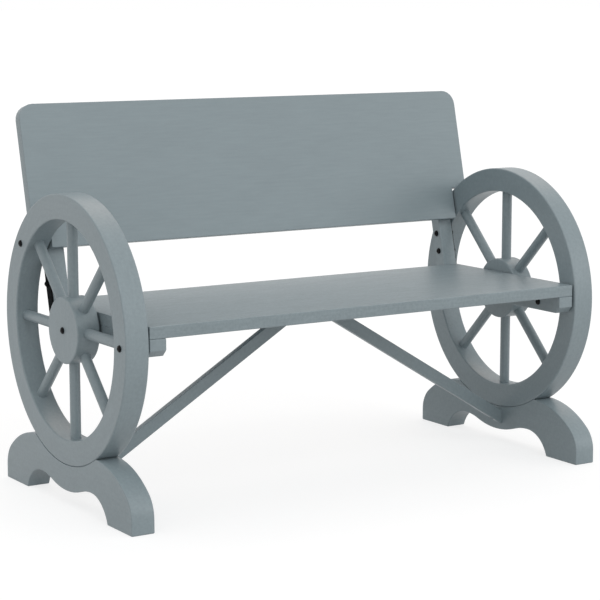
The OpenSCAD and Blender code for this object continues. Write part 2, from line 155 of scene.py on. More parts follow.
class FootSizes(bpy.types.PropertyGroup):
    length: length("Foot length", "From front to back", 578 * MM)
    top: length("Shoulder height", "Where the foot meets the wheel", 122 * MM)
    toe: length("Toe height", "Height of the upright end", 28 * MM)
    toe_radius: length("Toe radius", "Round above the upright end", 62 * MM)
    sole: length("Sole length", "Flat sole at each end", 104 * MM)
    arch_at: length("Arch place", "From the middle to each arch's highest point", 116 * MM)
    arch: length("Arch height", "Height of the arches", 49.5 * MM)
    arch_radius: length("Arch radius", "Inner side of the arches", 154 * MM)
    scallop: length("Scallop height", "Lowest point of the scallop in the middle", 30.7 * MM)
    seat_gap: length("Saddle clearance", "Between the saddle and the wheel", 0.3 * MM)
    screw_at: length("Foot screw place", "From the middle to each screw", 45 * MM)
    corner: length("Foot corner", "Radius of the sawn corners at the soles", 2.8 * MM)
    edge: length("Foot edge", "Radius of the foot's eased edges", 2.0 * MM)


class BoardSizes(bpy.types.PropertyGroup):
    seat_top: length("Seat height", "Top of the seat above the floor", 400 * MM)
    seat_thick: length("Seat thickness", "Thickness of the seat board", 25 * MM)
    seat_front: length("Seat front", "Front edge ahead of the hub's centre", 270 * MM)
    side_gap: length("Side gap", "Between the seat and the wheel", 4 * MM)
    back_foot: length("Backrest place", "Lower front edge behind the hub's centre", 155 * MM)
    back_low: length("Backrest low edge", "Height of the lower front edge", 508 * MM)
    back_top: length("Backrest top edge", "Height of the upper front edge", 802.5 * MM)
    back_wide: length("Backrest width", "Over the wings", 1120 * MM)
    back_thick: length("Backrest thickness", "Thickness of the backrest board", 22 * MM)
    back_corner: length("Backrest corner", "Radius of the upper corners", 32 * MM)
    wing_gap: length("Wing gap", "Between the wings and the wheels", 2 * MM)
    rest_gap: length("Rest gap", "Between the seat's back edge and the uprights", 0.3 * MM)
    lean: bpy.props.FloatProperty(name="Lean", description="Angle of the backrest from upright", min=0.0,
                                  default=math.radians(13.67), max=0.6, subtype="ANGLE", unit="ROTATION")
    corner: length("Board corner", "Radius of the boards' sawn corners", 2.0 * MM)
    wing_corner: length("Wing corner", "Radius of the wings' lower corners", 3.2 * MM)
    edge: length("Board edge", "Radius of the boards' eased edges", 1.2 * MM)


class TimberSizes(bpy.types.PropertyGroup):
    beam: length("Beam size", "Width and height of the beams", 36 * MM)
    beam_cut: length("Beam cut", "Slanted cut on the lower front corner", 13 * MM)
    upright_wide: length("Upright width", "Width of the uprights", 36 * MM)
    upright_deep: length("Upright depth", "Depth of the uprights", 28 * MM)
    upright_drop: length("Upright drop", "From the backrest's top edge to the uprights' ends", 50 * MM)
    brace_wide: length("Brace width", "Width of the slats", 27 * MM)
    brace_thick: length("Brace thickness", "Thickness of the slats", 16 * MM)
    brace_front: length("Brace place", "Middle of the slats ahead of the hub's centre", 15 * MM)
    brace_foot: length("Brace foot", "Height of the slat's lower edge at the foot", 46 * MM)
    brace_top: length("Brace top", "Half the flat top under the seat", 33 * MM)
    seat_screw_in: length("Seat screw inset", "First seat screw behind the seat's front", 120 * MM)
    seat_screw_pitch: length("Seat screw spacing", "From one seat screw to the next", 100 * MM)
    back_screw_in: length("Backrest screw inset", "From the upright's ends to the nearest screws", 36 * MM)
    corner: length("Timber corner", "Radius of the small timbers' sawn corners", 2.1 * MM)
    edge: length("Timber edge", "Radius of the small timbers' eased edges", 1.4 * MM)


class SteelSizes(bpy.types.PropertyGroup):
    strap: length("Strap width", "Width of the flat straps", 20 * MM)
    strap_edge: length("Strap edge", "Radius of the straps' eased edges", 0.6 * MM)
    bolt: length("Bolt", "Diameter of the bolts' shanks", 6 * MM)
    head: length("Bolt head", "Diameter of the domed heads", 14 * MM)
    dome: length("Dome height", "Height of the domed heads", 4 * MM)
    socket: length("Socket", "Width of the heads' hexagonal sockets, across the flats", 4 * MM)
    socket_deep: length("Socket depth", "Depth of the sockets", 2 * MM)
    bite: length("Bolt bite", "Depth of the wheel bolts in the beams and uprights", 26 * MM)
    nut: length("Nut width", "Across the nut's flats", 10 * MM)
    nut_thick: length("Nut thickness", "Thickness of the nuts", 5 * MM)
    tail: length("Bolt tail", "Bolt shown past its nut", 2 * MM)
    pitch: length("Thread pitch", "Distance between the thread's turns", 1 * MM)
    thread_deep: length("Thread depth", "Depth of the thread's groove", 0.3 * MM)
    wheel_thread: length("Wheel bolt thread", "Thread at the end of a wheel bolt", 3 * MM)
    strap_thread: length("Strap bolt thread", "Thread at the end of a bolt with a nut", 9 * MM)
    low_bolt: length("Lower bolt rise", "First upright bolt above the seat", 30 * MM)
    bolt_pitch: length("Bolt spacing", "Between the two upright bolts", 40.5 * MM)
    front_pitch: length("Front bolt spacing", "Between the two front strap bolts", 52 * MM)
    screw_head: length("Screw head", "Diameter of the wood screws' heads", 9 * MM)
    head_gap: length("Screw head gap", "Between a screw's head and the wall of its pocket", 0.15 * MM)
    sink: length("Screw sink", "Depth of the pockets over the screws", 6 * MM)


class BenchColours(bpy.types.PropertyGroup):
    paint: colour("Paint", "Satin grey paint on all the timber", "#8B989D")
    steel: colour("Black steel", "Powder coat on straps, bolts and nuts", "#0A0B0D")
    zinc: colour("Zinc", "Plating of the wood screws", "#C3C6C8")
    dowel: colour("Bare dowel", "Raw beech of the rim dowels", "#C9A77A")


class StudioSettings(bpy.types.PropertyGroup):
    sky: level("Sky light", "Strength of the even light from all round", 0.74, 3.0)
    front: level("Front lamp", "Strength of the soft lamp ahead of the bench", 0.50, 10.0)
    side: level("Side lamp", "Strength of the soft low lamp on the front right", 0.28, 10.0)
    back: level("Back lamp", "Strength of the soft lamp high behind the right", 0.23, 10.0)
    shadow: level("Floor shadow", "How much of the shadow the floor shows", 0.35, 1.0)
    bounce: level("Floor bounce", "How much of the light the floor throws back on the bench", 0.58, 1.0)
    floor: length("Floor", "From the middle of the floor to its sides", 150.0)
    lens: bpy.props.FloatProperty(name="Lens", description="Focal length on a 36 mm sensor",
                                  default=118.82, min=10.0, max=500.0, unit="CAMERA")
    camera_at: bpy.props.FloatVectorProperty(name="Camera place", description="Where the camera stands",
                                             default=(-2.2665, -3.5666, 1.0183), unit="LENGTH",
                                             subtype="TRANSLATION")
    camera_turn: bpy.props.FloatVectorProperty(name="Camera turn", description="How the camera is turned",
                                               default=np.radians([81.344, 0.040, -32.307]).tolist(),
                                               unit="ROTATION", subtype="EULER")


# Shapes

def arc(centre, radius, first, last, steps=16):
    """Points of a circle: centre + radius (cos a, sin a), for angles a in degrees from first to last."""
    a = np.radians(np.linspace(first, last, steps + 1))[:, None]
    return np.asarray(centre) + radius * np.hstack([np.cos(a), np.sin(a)])


def outline(points, radius=0.0, ease=0.0):
    """Corners as rows of place, rounding radius and ease, which is the round of the face's edge there."""
    points = np.asarray(points, float)
    column = np.ones((len(points), 1))
    return np.hstack([points, column * radius, column * ease])


def rounded(corners, steps=6):
    """Outline with its corners rounded.

    A corner of radius r becomes the arc whose centre lies r / sin(h) along the corner's bisector,
    where h is half its angle. The arc is swept evenly from one touching point to the other, and a
    point is added a margin beyond each, so that the flats next to the arc shade flat.
    """
    corners = np.asarray(corners, float)
    place, radius = corners[:, :2], corners[:, 2]
    back = np.roll(place, 1, 0) - place
    ahead = np.roll(place, -1, 0) - place
    back /= np.linalg.norm(back, axis=1)[:, None]
    ahead /= np.linalg.norm(ahead, axis=1)[:, None]
    half = np.arccos(np.clip((back * ahead).sum(1), -1, 1)) / 2
    middle = back + ahead
    middle /= np.maximum(np.linalg.norm(middle, axis=1), 1e-9)[:, None]
    centre = place + middle * (radius / np.sin(half))[:, None]
    reach = (radius / np.tan(half))[:, None]
    start, end = place + back * reach - centre, place + ahead * reach - centre
    turn = np.pi - 2 * half
    share = np.linspace(0, 1, steps + 1)[:, None]
    scale = np.maximum(np.sin(turn), 1e-9)
    sweep = (centre + (np.sin((1 - share) * turn) / scale)[..., None] * start
             + (np.sin(share * turn) / scale)[..., None] * end)
    extra = np.where(radius > 0, MARGIN, 0.0)[:, None]
    points = np.concatenate([(place + back * (reach + extra))[None], sweep,
                             (place + ahead * (reach + extra))[None]])
    points = points.transpose(1, 0, 2).reshape(-1, 2)
    ease = np.repeat(corners[:, 3], steps + 3)
    fresh = np.linalg.norm(points - np.roll(points, 1, 0), axis=1) > 1e-6
    return np.column_stack([points, ease])[fresh]


def eased_board(corners, low, high, steps=5):
    """Board cut to an outline, with its face edges rounded, as a grid of (u, v, depth).

    Ring k of a quarter round turns through the angle t: it lies ease (1 - sin t) inside the
    outline and ease (1 - cos t) below the face. Each point moves along the mitre of its two
    edges, (n1 + n2) / (1 + n1 . n2). One more ring, a margin further in, keeps the face flat.
    """
    loop = rounded(corners)
    place, ease = loop[:, :2], loop[:, 2]
    following = np.roll(place, -1, 0)
    if (place[:, 0] * following[:, 1] - following[:, 0] * place[:, 1]).sum() < 0:
        place, ease = place[::-1], ease[::-1]
        following = np.roll(place, -1, 0)
    edge = following - place
    normal = np.column_stack([-edge[:, 1], edge[:, 0]]) / np.linalg.norm(edge, axis=1)[:, None]
    before = np.roll(normal, 1, 0)
    inward = (before + normal) / (1 + (before * normal).sum(1))[:, None]
    t = np.linspace(0, np.pi / 2, steps + 1)[:, None]
    inset = np.vstack([ease + MARGIN, ease * (1 - np.sin(t))])
    depth = np.vstack([ease * 0, ease * (1 - np.cos(t))])
    inset = np.vstack([inset, inset[::-1]])
    depth = np.vstack([low + depth, high - depth[::-1]])
    return np.dstack([place + inward * inset[..., None], depth])


def placed(grid, u, v, depth, origin=(0.0, 0.0, 0.0)):
    """A grid of (u, v, depth) as points of the bench: origin + u U + v V + depth D."""
    return np.asarray(origin) + grid @ np.array([u, v, depth])


def turned(profile, base, axis, around=36, thread=None, hexagons=0):
    """Turned piece: at height h along its axis and angle a its surface is at radius r(h).

    A thread takes depth |2 frac(h / pitch + a / 360) - 1| off the radius between two heights,
    which is one groove winding round the shank. The first rings may be hexagons: their radius is
    half the width across the flats over cos(a), a being the angle from the nearest flat.
    """
    profile = np.asarray(profile, float)
    axis = np.asarray(axis, float)
    side = np.cross(axis, X if abs(axis[0]) < 0.5 else Z)
    side /= np.linalg.norm(side)
    a = np.arange(around) * 2 * np.pi / around
    height, radius = profile[:, :1], np.repeat(profile[:, 1:2], around, 1)
    radius[:hexagons] /= np.cos(a % (np.pi / 3) - np.pi / 6)
    if thread:
        pitch, depth, first, last = thread
        wave = np.abs(2 * ((height / pitch + a / (2 * np.pi)) % 1) - 1)
        radius = radius - depth * wave * ((height > first) & (height < last))
    ring = np.cos(a)[:, None] * side + np.sin(a)[:, None] * np.cross(axis, side)
    return np.asarray(base) + height[..., None] * axis + radius[..., None] * ring


def mirrored(grid, sign):
    """A grid, a point or a direction of the right half, for the side of the bench that sign names."""
    return grid * np.array([sign, 1.0, 1.0])


# Pieces

def skin(grids, wraps=False):
    """Corners and faces of closed surfaces over grids of rings, with a cap on the first and last ring.

    With wraps the last ring joins the first instead, as round a nut's hole.
    """
    points, faces, start = [], [], 0
    for grid in grids:
        rows, columns = grid.shape[:2]
        number = start + np.arange(rows * columns).reshape(rows, columns)
        ahead = np.roll(number, -1, 1)
        if wraps:
            quads = np.stack([number, ahead, np.roll(ahead, -1, 0), np.roll(number, -1, 0)], -1)
        else:
            quads = np.stack([number[:-1], ahead[:-1], ahead[1:], number[1:]], -1)
            faces += [number[0][::-1].tolist(), number[-1].tolist()]
        faces += quads.reshape(-1, 4).tolist()
        points.append(grid.reshape(-1, 3))
        start += rows * columns
    return np.vstack(points), faces


def new_object(name, grids, wraps=False):
    """An object at the origin whose mesh is the skin of the grids, with its faces outwards."""
    points, faces = skin(grids, wraps)
    mesh = bpy.data.meshes.new(name)
    mesh.from_pydata(points, [], faces)
    work = bmesh.new()
    work.from_mesh(mesh)
    bmesh.ops.recalc_face_normals(work, faces=work.faces)
    work.to_mesh(mesh)
    work.free()
    obj = bpy.data.objects.new(name, mesh)
    bpy.context.scene.collection.objects.link(obj)
    return obj


def drill(obj, holes, radius, around=40):
    """Cuts round pockets: each hole is the cylinder of that radius from one point to another."""
    grids = []
    for start, end in holes:
        run = end - start
        depth = np.linalg.norm(run)
        grids.append(turned([[0, radius], [depth, radius]], start, run / depth, around))
    cutter = new_object("cutter", grids)
    cut = obj.modifiers.new("pockets", "BOOLEAN")
    cut.operation, cut.solver, cut.object = "DIFFERENCE", "EXACT", cutter
    bpy.context.view_layer.update()
    shape = obj.evaluated_get(bpy.context.evaluated_depsgraph_get())
    mesh = bpy.data.meshes.new_from_object(shape)
    obj.modifiers.clear()
    old = obj.data
    obj.data = mesh
    bpy.data.meshes.remove(old)
    bpy.data.objects.remove(cutter)
    mesh.name = obj.name


def finish_piece(obj, material, nodes, along=None, across=None, shift=0.0):
    """Shades a piece, gives it its material, hangs it under the root body and hides the solids it stands for.

    Timber also gets where each point lies in its own board, in millimetres along the grain,
    across it and through the board: the three dot products of its place with those directions.
    """
    mesh = obj.data
    mesh.polygons.foreach_set("use_smooth", np.ones(len(mesh.polygons), bool))
    mesh.set_sharp_from_angle(angle=SHARP)
    if along is not None:
        place = np.empty(len(mesh.vertices) * 3)
        mesh.vertices.foreach_get("co", place)
        along = along / np.linalg.norm(along)
        across = across / np.linalg.norm(across)
        board = np.array([along, across, np.cross(along, across)])
        in_timber = place.reshape(-1, 3) @ board.T / MM + shift
        mesh.attributes.new("timber", "FLOAT_VECTOR", "POINT").data.foreach_set("vector", in_timber.ravel())
    mesh.materials.clear()
    mesh.materials.append(material)
    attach(obj, "root")
    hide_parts(*nodes)


def timber(name, grid, solid, along, across, seed, holes=(), paint=None):
    """One painted timber, with the pockets over its screws."""
    obj = new_object(name, [grid])
    if holes:
        metal = bpy.context.scene.bench_steel
        drill(obj, holes, metal.screw_head / 2 + metal.head_gap)
    finish_piece(obj, (paint or paint_on_frame)(), [solid], along, across,
                 BOARD_SHIFT * seed)


def timber_pair(name, grid, solid, along, across, seeds, holes=()):
    """The same timber on the left and on the right, each with its own shift of the grain."""
    for (side, sign), seed in zip(SIDES.items(), seeds):
        timber(f"{side}_{name}", mirrored(grid, sign), f"{side}_{solid}", mirrored(along, sign), across,
               seed, [mirrored(hole, sign) for hole in holes])


def steel(name, grids, nodes, wraps=False):
    """One black steel piece, or a set of like ones."""
    finish_piece(new_object(name, grids, wraps), black_coated_steel(), nodes)


class Places:
    """Places that several pieces share, worked out from the sizes in the sidebar.

    A point of the leaning backrest is its lower front edge, plus a distance up the slope and a
    distance in from the front face. The line in the board at a given depth meets a circle round
    the axle where |p + s (sin lean, cos lean)| equals the circle's radius.
    """

    def __init__(self, scene):
        wheel, board = scene.bench_wheels, scene.bench_boards
        wood, metal = scene.bench_timbers, scene.bench_steel
        self.up = np.array([math.sin(board.lean), math.cos(board.lean)])
        self.into = np.array([math.cos(board.lean), -math.sin(board.lean)])
        self.foot = np.array([board.back_foot, board.back_low])
        self.axle = np.array([0.0, wheel.axle])
        self.wheel_in = wheel.outer_x - wheel.thick
        self.seat_half = self.wheel_in - board.side_gap
        self.seat_low = board.seat_top - board.seat_thick
        self.beam_low = self.seat_low - wood.beam
        beam_mid = self.seat_low - wood.beam / 2
        self.back_length = (board.back_top - board.back_low) / self.up[1]
        self.upright_length = self.back_length - wood.upright_drop
        self.upright_front = board.back_thick
        self.upright_rear = board.back_thick + wood.upright_deep
        middle = (self.upright_front + self.upright_rear) / 2
        rim_middle = (wheel.radius + wheel.rim_inner) / 2
        self.hub_bolt = self.axle
        self.front_rim_bolt = np.array([-rim_middle, wheel.axle])
        self.rear_rim_bolt = self.slope(self.meets(middle, rim_middle), middle)
        self.front_beam_bolt = np.array([-rim_middle + metal.front_pitch, beam_mid])
        self.rear_beam_bolt = self.at_height(middle, beam_mid)
        self.upright_bolts = [self.at_height(middle, board.seat_top + metal.low_bolt + i * metal.bolt_pitch)
                              for i in (0, 1)]
        self.wing_up = self.meets(0.0, wheel.radius + board.wing_gap)
        self.beam_x = self.seat_half - wood.beam / 2
        self.upright_x = self.seat_half - wood.upright_wide / 2
        self.wheel_x = wheel.outer_x - wheel.thick / 2
        rise, run = self.seat_low - wood.brace_foot, self.wheel_in - wood.brace_top
        self.brace_angle = math.acos(wood.brace_wide / math.hypot(rise, run)) - math.atan2(run, rise)
        self.brace_over = wood.brace_wide / math.cos(self.brace_angle)

    def slope(self, distance, depth):
        """The point that far up the backrest's slope, at a depth from its front face."""
        return self.foot + distance * self.up + depth * self.into

    def at_height(self, depth, height):
        """The point of the sloping line at that depth which has a given height."""
        start = self.slope(0.0, depth)
        return start + self.up * (height - start[1]) / self.up[1]

    def meets(self, depth, radius):
        """How far up the slope the line at that depth leaves a circle round the axle."""
        start = self.slope(0.0, depth) - self.axle
        b = start @ self.up
        return -b + math.sqrt(b * b - start @ start + radius * radius)

    def brace_low(self, x):
        """Height of the slats' lower edge, at a distance x from the bench's middle."""
        return bpy.context.scene.bench_timbers.brace_foot + (self.wheel_in - x) * math.tan(self.brace_angle)


def tall(point):
    """A point of the side view, as a place in the middle of the bench."""
    return np.array([0.0, point[0], point[1]])


# Materials

def node(tree, kind, inputs=None, **options):
    """Adds a node with its options, and fills its inputs with values or with links from other nodes."""
    new = tree.nodes.new(kind)
    for name, value in options.items():
        setattr(new, name, value)
    for key, value in (inputs or {}).items():
        if isinstance(value, bpy.types.NodeSocket):
            tree.links.new(value, new.inputs[key])
        else:
            new.inputs[key].default_value = value
    return new


def finish(name):
    """Makes a material, once, of a function that fills a node tree and returns its shader."""
    def wrap(fill):
        @functools.wraps(fill)
        def make():
            material = bpy.data.materials.get(name)
            if material is None:
                material = bpy.data.materials.new(name)
                material.use_nodes = True
                tree = material.node_tree
                tree.nodes.clear()
                node(tree, "ShaderNodeOutputMaterial", {"Surface": fill(tree).outputs[0]})
            return material
        return make
    return wrap


def shade(rgb, factor=1.0):
    """A colour times a factor, with full opacity."""
    return [min(1.0, c * factor) for c in rgb] + [1.0]


def painted_timber(tree, streaks, stipple, rough):
    """Satin outdoor paint on pine, where streaks is how much the grain still shows through it.

    The eye gets an even cool grey that drifts very little in tone over each board, fine streaks
    where the grain takes the paint differently, the soft stipple of a paint roller, and a faint
    relief that softens the sheen along the board.
    """
    board = node(tree, "ShaderNodeAttribute", attribute_name="timber",
                 attribute_type="GEOMETRY").outputs["Vector"]
    # Clouds of tone about 160 mm long and 60 mm wide, 1.5% up and down, as the paint's thickness drifts
    clouds = node(tree, "ShaderNodeMapping", {"Vector": board, "Scale": (1 / 160, 1 / 60, 1 / 60)})
    drift = node(tree, "ShaderNodeTexNoise", {"Vector": clouds.outputs[0], "Scale": 1.0, "Detail": 2.0})
    drifts = 0.015
    # Grain streaks 5 mm apart and some 60 mm long; growth rings in pine are 2 to 5 mm apart
    rings = node(tree, "ShaderNodeMapping", {"Vector": board, "Scale": (1 / 60, 1 / 5, 1 / 5)})
    grain = node(tree, "ShaderNodeTexNoise", {"Vector": rings.outputs[0], "Scale": 1.0, "Detail": 4.0,
                                              "Roughness": 0.6, "Distortion": 0.3})
    # Roller stipple is 1 to 3 mm across; drawn 6 mm across, because finer dots don't show from here
    dots = node(tree, "ShaderNodeTexNoise", {"Vector": board, "Scale": 1 / 6, "Detail": 1.0})
    levels = ((drift, 1 - drifts, 1 + drifts), (grain, 1 - streaks, 1.0), (dots, 1 - stipple, 1 + stipple))
    steps = [node(tree, "ShaderNodeMapRange", {"Value": noise.outputs["Fac"], **NOISE,
                                               "To Min": low, "To Max": high})
             for noise, low, high in levels]
    tone = node(tree, "ShaderNodeMath", {0: steps[0].outputs[0], 1: steps[1].outputs[0]},
                operation="MULTIPLY")
    tone = node(tree, "ShaderNodeMath", {0: tone.outputs[0], 1: steps[2].outputs[0]}, operation="MULTIPLY")
    paint = node(tree, "ShaderNodeVectorMath", {0: bpy.context.scene.bench_colours.paint,
                                                "Scale": tone.outputs[0]}, operation="SCALE")
    # The paint lies a little smoother where the grain stands up
    smoother = 0.06
    gloss = node(tree, "ShaderNodeMapRange", {"Value": grain.outputs["Fac"], **NOISE,
                                              "To Min": rough, "To Max": rough - smoother})
    # The grain stands up by 2 mm times its share of streaks, which is 0.1 to 0.24 mm
    relief = node(tree, "ShaderNodeBump", {"Height": grain.outputs["Fac"], "Strength": 0.4,
                                           "Distance": streaks * 2 * MM})
    return node(tree, "ShaderNodeBsdfPrincipled", {
        "Base Color": paint.outputs[0], "Roughness": gloss.outputs["Result"], "IOR": 1.5,
        "Normal": relief.outputs["Normal"]})


@finish("satin_grey_paint_on_planed_backrest")
def paint_on_backrest(tree):
    """Paint on the planed backrest, with the streaks of the grain just to be seen in it."""
    return painted_timber(tree, streaks=0.06, stipple=0.005, rough=0.46)


@finish("satin_grey_paint_on_worn_seat")
def paint_on_seat(tree):
    """Paint on the seat, where use has brought the grain out a little more."""
    return painted_timber(tree, streaks=0.12, stipple=0.07, rough=0.46)


@finish("satin_grey_paint_on_sanded_frame")
def paint_on_frame(tree):
    """Paint on the sanded wheels, feet and small timbers, which hides most of the grain."""
    return painted_timber(tree, streaks=0.05, stipple=0.04, rough=0.42)


@finish("black_powder_coated_steel")
def black_coated_steel(tree):
    """Flat mild steel and bolts with a black powder coat.

    The eye gets near black with a soft sheen, and the fine orange peel of a baked coat.
    """
    place = node(tree, "ShaderNodeTexCoord").outputs["Object"]
    # Orange peel bumps 1.5 mm across and 0.05 mm high
    peel = node(tree, "ShaderNodeTexNoise", {"Vector": place, "Scale": 1 / (1.5 * MM), "Detail": 2.0})
    bump = node(tree, "ShaderNodeBump", {"Height": peel.outputs["Fac"], "Strength": 0.3,
                                         "Distance": 0.05 * MM})
    # Handled patches 25 mm across, where the coat shines a little more
    worn = node(tree, "ShaderNodeTexNoise", {"Vector": place, "Scale": 1 / (25 * MM), "Detail": 3.0})
    gloss = node(tree, "ShaderNodeMapRange", {"Value": worn.outputs["Fac"], **NOISE,
                                              "To Min": 0.3, "To Max": 0.42})
    return node(tree, "ShaderNodeBsdfPrincipled", {
        "Base Color": shade(bpy.context.scene.bench_colours.steel), "Roughness": gloss.outputs["Result"],
        "IOR": 1.5, "Specular IOR Level": 0.1, "Normal": bump.outputs["Normal"]})


@finish("bright_zinc_plated_steel")
def zinc_plated_steel(tree):
    """Wood screws of bright zinc plated steel: a pale metal shine, a little cloudy."""
    place = node(tree, "ShaderNodeTexCoord").outputs["Object"]
    # Cloudy patches of plating 3 mm across
    cloud = node(tree, "ShaderNodeTexNoise", {"Vector": place, "Scale": 1 / (3 * MM), "Detail": 3.0})
    gloss = node(tree, "ShaderNodeMapRange", {"Value": cloud.outputs["Fac"], **NOISE,
                                              "To Min": 0.28, "To Max": 0.42})
    return node(tree, "ShaderNodeBsdfPrincipled", {
        "Base Color": shade(bpy.context.scene.bench_colours.zinc), "Metallic": 1.0,
        "Roughness": gloss.outputs["Result"]})


@finish("raw_beech_dowel")
def raw_beech(tree):
    """Raw beech dowels: pale warm wood with short dark flecks along the grain, and no shine."""
    base = bpy.context.scene.bench_colours.dowel
    place = node(tree, "ShaderNodeTexCoord").outputs["Object"]
    # Beech flecks 2 mm long, a fifth darker, and 0.1 mm deep
    fleck = node(tree, "ShaderNodeTexNoise", {"Vector": place, "Scale": 1 / (2 * MM), "Detail": 3.0})
    tone = node(tree, "ShaderNodeValToRGB", {"Fac": fleck.outputs["Fac"]})
    for step, position, factor in zip(tone.color_ramp.elements, (0.35, 0.6), (0.8, 1.05)):
        step.position, step.color = position, shade(base, factor)
    bump = node(tree, "ShaderNodeBump", {"Height": fleck.outputs["Fac"], "Strength": 0.3,
                                         "Distance": 0.1 * MM})
    return node(tree, "ShaderNodeBsdfPrincipled", {
        "Base Color": tone.outputs["Color"], "Roughness": 0.65, "Normal": bump.outputs["Normal"]})


def seen(tree):
    """1 where the ray comes from the camera, a reflection or a glass, and 0 for the light itself."""
    path = node(tree, "ShaderNodeLightPath").outputs
    first = node(tree, "ShaderNodeMath", {0: path["Is Camera Ray"], 1: path["Is Glossy Ray"]},
                 operation="MAXIMUM")
    return node(tree, "ShaderNodeMath", {0: first.outputs[0], 1: path["Is Transmission Ray"]},
                operation="MAXIMUM").outputs[0]


@finish("white_seamless_floor")
def white_floor(tree):
    """Seamless floor: to the light a plain white, and to the eye lifted so that only shadow shows."""
    studio = bpy.context.scene.bench_studio
    plain = node(tree, "ShaderNodeBsdfDiffuse", {"Color": shade([studio.bounce] * 3)})
    lit = node(tree, "ShaderNodeBsdfDiffuse", {"Color": shade([studio.shadow] * 3)})
    lift = node(tree, "ShaderNodeEmission", {"Color": (1, 1, 1, 1), "Strength": FLOOR_WHITE - studio.shadow})
    shown = node(tree, "ShaderNodeAddShader", {0: lit.outputs[0], 1: lift.outputs[0]})
    return node(tree, "ShaderNodeMixShader", {0: seen(tree), 1: plain.outputs[0], 2: shown.outputs[0]})


# Operators

class BENCH_OT_rims(bpy.types.Operator):
    """Eight felloes a wheel: a rounded rectangle carried round its share of the circle"""
    bl_idname = "bench.rims"
    bl_label = "Rims"

    def execute(self, context):
        wheel, at = context.scene.bench_wheels, Places(context.scene)
        half_w, half_t = (wheel.radius - wheel.rim_inner) / 2, wheel.thick / 2
        middle = wheel.radius - half_w
        profile = rounded(outline([[-half_w, -half_t], [half_w, -half_t], [half_w, half_t],
                                   [-half_w, half_t]], radius=wheel.edge))
        step, rings = 2 * math.pi / SPOKES, 41
        # The profile's point (w, t) lies at the radius middle + w, and t beside the wheel's middle
        reach, beside = middle + profile[:, 0], at.wheel_x + profile[:, 1]
        for (side, sign), seed in zip(SIDES.items(), (20, 3)):
            for i in range(1, SPOKES + 1):
                a = np.linspace((i - 1.5) * step, (i - 0.5) * step, rings)[:, None]
                grid = np.dstack([sign * np.broadcast_to(beside, (rings, len(profile))),
                                  reach * np.cos(a), wheel.axle + reach * np.sin(a)])
                turn = (i - 1) * step
                chord = np.array([0, -math.sin(turn), math.cos(turn)])
                timber(f"{side}_rim_felloe_{i}", grid, f"{side}_felloe_{i}", chord, X, seed + i)
        return {"FINISHED"}


class BENCH_OT_spokes(bpy.types.Operator):
    """Eight round spokes a wheel, with their tenons in the hub and the rim"""
    bl_idname = "bench.spokes"
    bl_label = "Spokes"

    def execute(self, context):
        wheel, at = context.scene.bench_wheels, Places(context.scene)
        r, first, last, cut = wheel.spoke_radius, WHEEL["spoke_from"], WHEEL["spoke_to"], wheel.tenon_cut
        profile = [[first, r - cut], [first + cut, r], [last - cut, r], [last, r - cut]]
        for (side, sign), seed in zip(SIDES.items(), (40, 31)):
            for i in range(1, SPOKES + 1):
                turn = (i - 1) * 2 * math.pi / SPOKES
                axis = np.array([0, math.cos(turn), math.sin(turn)])
                grid = mirrored(turned(profile, [at.wheel_x, 0, wheel.axle], axis, around=48), sign)
                timber(f"{side}_round_spoke_{i}", grid, f"{side}_spoke_{i}", axis, X, seed + i)
        return {"FINISHED"}


class BENCH_OT_hubs(bpy.types.Operator):
    """The turned hub disc of each wheel"""
    bl_idname = "bench.hubs"
    bl_label = "Hubs"

    def execute(self, context):
        wheel, at = context.scene.bench_wheels, Places(context.scene)
        r, t, e = wheel.hub_radius, wheel.thick, wheel.edge
        # Radius of the small cap that closes each face in its middle
        cap = 0.5 * MM
        half = np.vstack([[t, cap], [t, r - e - MARGIN], arc([t - e, r - e], e, 0, 90, 6),
                          [t - e - MARGIN, r]])
        profile = np.vstack([half, (half * [-1, 1] + [t, 0])[::-1]])
        grid = turned(profile, [at.wheel_in, 0, wheel.axle], X, around=120)
        timber_pair("hub_disc", grid, "hub", Z, Y, (61, 52))
        return {"FINISHED"}


